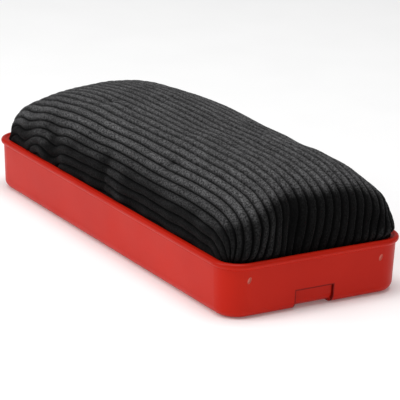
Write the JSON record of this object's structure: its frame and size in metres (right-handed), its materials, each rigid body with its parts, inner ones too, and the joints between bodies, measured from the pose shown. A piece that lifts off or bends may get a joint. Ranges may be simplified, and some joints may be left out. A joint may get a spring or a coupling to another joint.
{
  "type": "chalkboard eraser",
  "caption": "Chalkboard eraser: a corduroy-covered foam pad clipped into a shallow round-cornered plastic tray, with an elastic hand strap in a channel along the tray's back.",
  "frame": {"origin": "centre of the tray's back, on the surface that the eraser lies on with its wiping face up", "axes": "+X along the length towards the steeper end of the pad, +Y across, +Z from the back to the wiping face"},
  "size_m": [0.1456, 0.0616, 0.0378],
  "materials": {
    "red_plastic": "moulded, satin gloss",
    "corduroy": "wide-wale cotton corduroy with a short plush nap",
    "foam": "soft open-cell foam",
    "hardboard": "pressed hardboard",
    "steel": "plain steel",
    "elastic": "woven elastic",
    "thread": "sewing thread"
  },
  "bodies": {
    "root": {"tray": "red_plastic", "backing_board": "hardboard", "foam_pad": "foam", "corduroy_cover": "corduroy", "cover_staples": "steel", "hand_strap": "elastic", "front_strap_plate": "steel", "rear_strap_plate": "steel", "front_strap_stitching": "thread", "rear_strap_stitching": "thread"}
  },
  "joints": []
}
